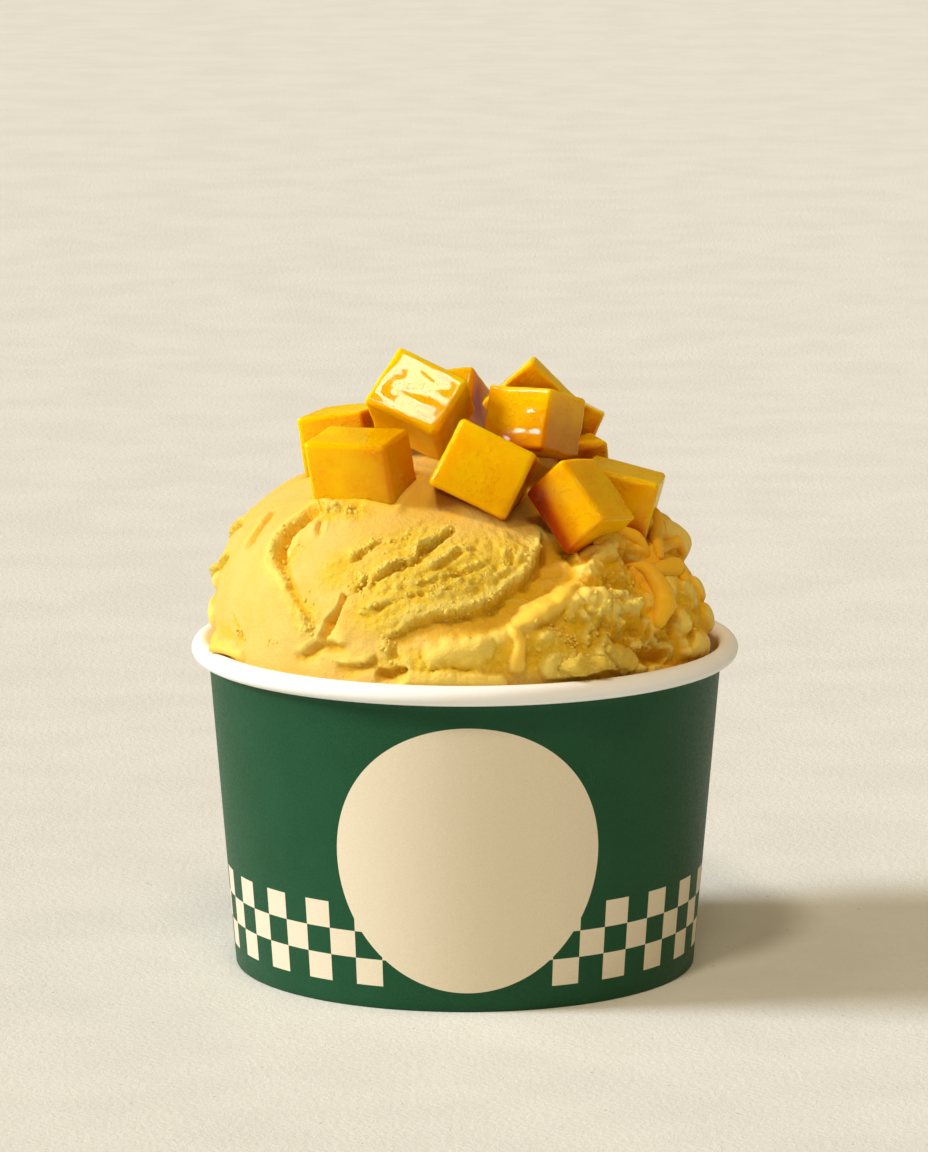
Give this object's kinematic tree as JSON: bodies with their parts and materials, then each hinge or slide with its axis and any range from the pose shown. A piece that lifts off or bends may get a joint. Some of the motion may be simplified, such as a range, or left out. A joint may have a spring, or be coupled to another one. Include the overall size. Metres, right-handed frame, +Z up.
{
  "type": "gelato cup",
  "caption": "Paper ice cream cup with a rolled rim, filled with a tall scooped mound of yellow gelato and topped with cut mango cubes",
  "frame": {"origin": "middle of the circle on which the cup's foot stands", "axes": "+Z up along the cup's axis, -Y towards the front with the cream disc, +X to the right seen from the front"},
  "size_m": [0.096, 0.096, 0.1091],
  "materials": {
    "printed_paper": "matte green print with a cream disc and a cream check band, white at the rim and inside",
    "plain_paper": "uncoated white board",
    "gelato": "soft yellow frozen cream, smooth on the scooped faces and crumbly along the folds",
    "mango": "wet, slightly translucent fruit flesh"
  },
  "bodies": {
    "root": {"cup_wall": "printed_paper", "cup_base": "plain_paper", "gelato": "gelato", "mango_cube_01": "mango", "mango_cube_02": "mango", "mango_cube_03": "mango", "mango_cube_04": "mango", "mango_cube_05": "mango", "mango_cube_06": "mango", "mango_cube_07": "mango", "mango_cube_08": "mango", "mango_cube_09": "mango", "mango_cube_10": "mango", "mango_cube_11": "mango"}
  },
  "joints": []
}
